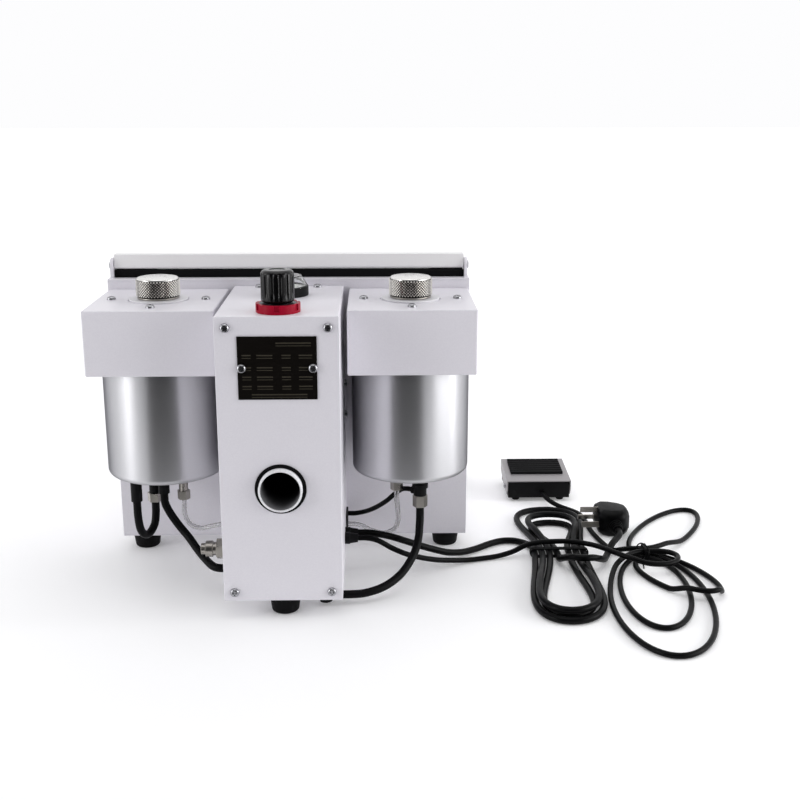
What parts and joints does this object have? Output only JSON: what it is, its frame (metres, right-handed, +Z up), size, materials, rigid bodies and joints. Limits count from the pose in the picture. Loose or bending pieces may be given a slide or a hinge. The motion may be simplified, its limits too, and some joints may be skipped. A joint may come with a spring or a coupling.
{
  "type": "benchtop sandblaster",
  "caption": "Benchtop sandblaster: blast cabinet with a hinged window lid, rear column with regulator and gauge, hooded abrasive tanks, hoses and a cabled foot pedal.",
  "frame": {"origin": "middle of the column's foot where it rests on the bench", "axes": "+X to the right seen from the rear, +Y from the rear column towards the user's side, +Z up"},
  "size_m": [0.6404, 0.5249, 0.3236],
  "materials": {
    "white_steel": "powder coated, light grey white",
    "black_rubber": "matt",
    "stainless": "satin",
    "dark_steel": "blackened",
    "white_plastic": "smooth",
    "window_glass": "clear",
    "black_plastic": "fine grain",
    "gloss_black": "polished",
    "plate_black": "satin",
    "red_metal": "anodised",
    "grey_metal": "satin",
    "nickel": "nickel plated",
    "satin_aluminium": "turned satin",
    "clear_hose": "clear"
  },
  "bodies": {
    "cabinet": {"base_pan": "white_steel", "rear_panel": "white_steel", "side_panels": "white_steel", "front_panel": "white_steel", "rim_frame": "white_steel", "column_shell": "white_steel", "column_cover": "white_steel", "tank_hoods": "white_steel", "rim_gasket": "black_rubber", "arm_cuffs": "black_rubber", "pipe_grommet": "black_rubber", "rubber_feet": "black_rubber", "black_hoses": "black_rubber", "pen_hoses": "black_rubber", "cord_glands": "black_rubber", "mains_cord": "black_rubber", "mains_hank": "black_rubber", "pedal_cord": "black_rubber", "pedal_coil": "black_rubber", "blast_grid": "stainless", "hinge_pins": "stainless", "panel_screws": "stainless", "pedal_pin": "stainless", "pedal_spring": "stainless", "blast_pens": "stainless", "cover_screws": "dark_steel", "lamp_bar": "white_plastic", "dust_pipe": "white_plastic", "gauge_lens": "window_glass", "regulator_body": "black_plastic", "solenoid_valves": "black_plastic", "tank_fittings": "black_plastic", "switch_frames": "black_plastic", "pedal_base": "black_plastic", "pedal_switch": "black_plastic", "mains_plug": "black_plastic", "cord_ties": "black_plastic", "gauge_case": "gloss_black", "nameplate": "plate_black", "regulator_ring": "red_metal", "power_supply": "grey_metal", "air_inlet": "nickel", "hose_nuts": "nickel", "sand_tanks": "satin_aluminium", "tank_heads": "satin_aluminium", "clear_hoses": "clear_hose"},
    "lid": {"lid_frame": "white_steel", "lid_window": "window_glass", "lid_handle": "black_plastic"},
    "left_cap_plug": {"left_cap_plug": "nickel"},
    "left_cap_knob": {"left_cap_knob": "nickel"},
    "right_cap_plug": {"right_cap_plug": "nickel"},
    "right_cap_knob": {"right_cap_knob": "nickel"},
    "regulator_spindle": {"regulator_spindle": "stainless"},
    "regulator_knob": {"regulator_knob": "gloss_black"},
    "gauge_needle": {"gauge_needle": "black_plastic"},
    "power_rocker": {"power_rocker": "black_plastic"},
    "selector_rocker": {"selector_rocker": "black_plastic"},
    "pedal_plate": {"pedal_cover": "grey_metal", "pedal_tread": "black_rubber"}
  },
  "joints": [
    {"name": "lid_hinge", "type": "hinge", "parent": "cabinet", "child": "lid", "pos_m": [0, 0.1595, 0.305], "axis": [1, 0, 0], "range_deg": [0, 80]},
    {"name": "left_cap_lift", "type": "slide", "parent": "cabinet", "child": "left_cap_plug", "axis": [0, 0, 1], "range_m": [0, 0.018]},
    {"name": "left_cap_turn", "type": "hinge", "parent": "left_cap_plug", "child": "left_cap_knob", "pos_m": [-0.1205, 0.08625, 0.29], "axis": [0, 0, 1], "range_deg": [0, 2160]},
    {"name": "right_cap_lift", "type": "slide", "parent": "cabinet", "child": "right_cap_plug", "axis": [0, 0, 1], "range_m": [0, 0.018]},
    {"name": "right_cap_turn", "type": "hinge", "parent": "right_cap_plug", "child": "right_cap_knob", "pos_m": [0.1205, 0.08625, 0.29], "axis": [0, 0, 1], "range_deg": [0, 2160]},
    {"name": "regulator_turn", "type": "hinge", "parent": "cabinet", "child": "regulator_spindle", "pos_m": [0, 0.0055, 0.29], "axis": [0, 0, 1], "range_deg": [-900, 900]},
    {"name": "knob_lock", "type": "slide", "parent": "regulator_spindle", "child": "regulator_knob", "axis": [0, 0, 1], "range_m": [0, 0.003]},
    {"name": "needle_sweep", "type": "hinge", "parent": "cabinet", "child": "gauge_needle", "pos_m": [0, 0.092, 0.2965], "axis": [0, 0, 1], "range_deg": [-270, 0]},
    {"name": "power_rocker_tip", "type": "hinge", "parent": "cabinet", "child": "power_rocker", "pos_m": [-0.017, 0.382, 0.112], "axis": [1, 0, 0], "range_deg": [-16, 0]},
    {"name": "selector_rocker_tip", "type": "hinge", "parent": "cabinet", "child": "selector_rocker", "pos_m": [0.017, 0.382, 0.112], "axis": [1, 0, 0], "range_deg": [-16, 0]},
    {"name": "pedal_press", "type": "hinge", "parent": "cabinet", "child": "pedal_plate", "pos_m": [0.281, 0.307, 0.015], "axis": [1, 0, 0], "range_deg": [-8, 0], "stiffness_Nm_per_rad": 3, "springref_deg": 4.58, "deforming": ["pedal_spring"]}
  ],
  "couplings": [
    {"joint": "left_cap_lift", "follows": "left_cap_turn", "m_per_rad": 0.000477},
    {"joint": "right_cap_lift", "follows": "right_cap_turn", "m_per_rad": 0.000477}
  ]
}
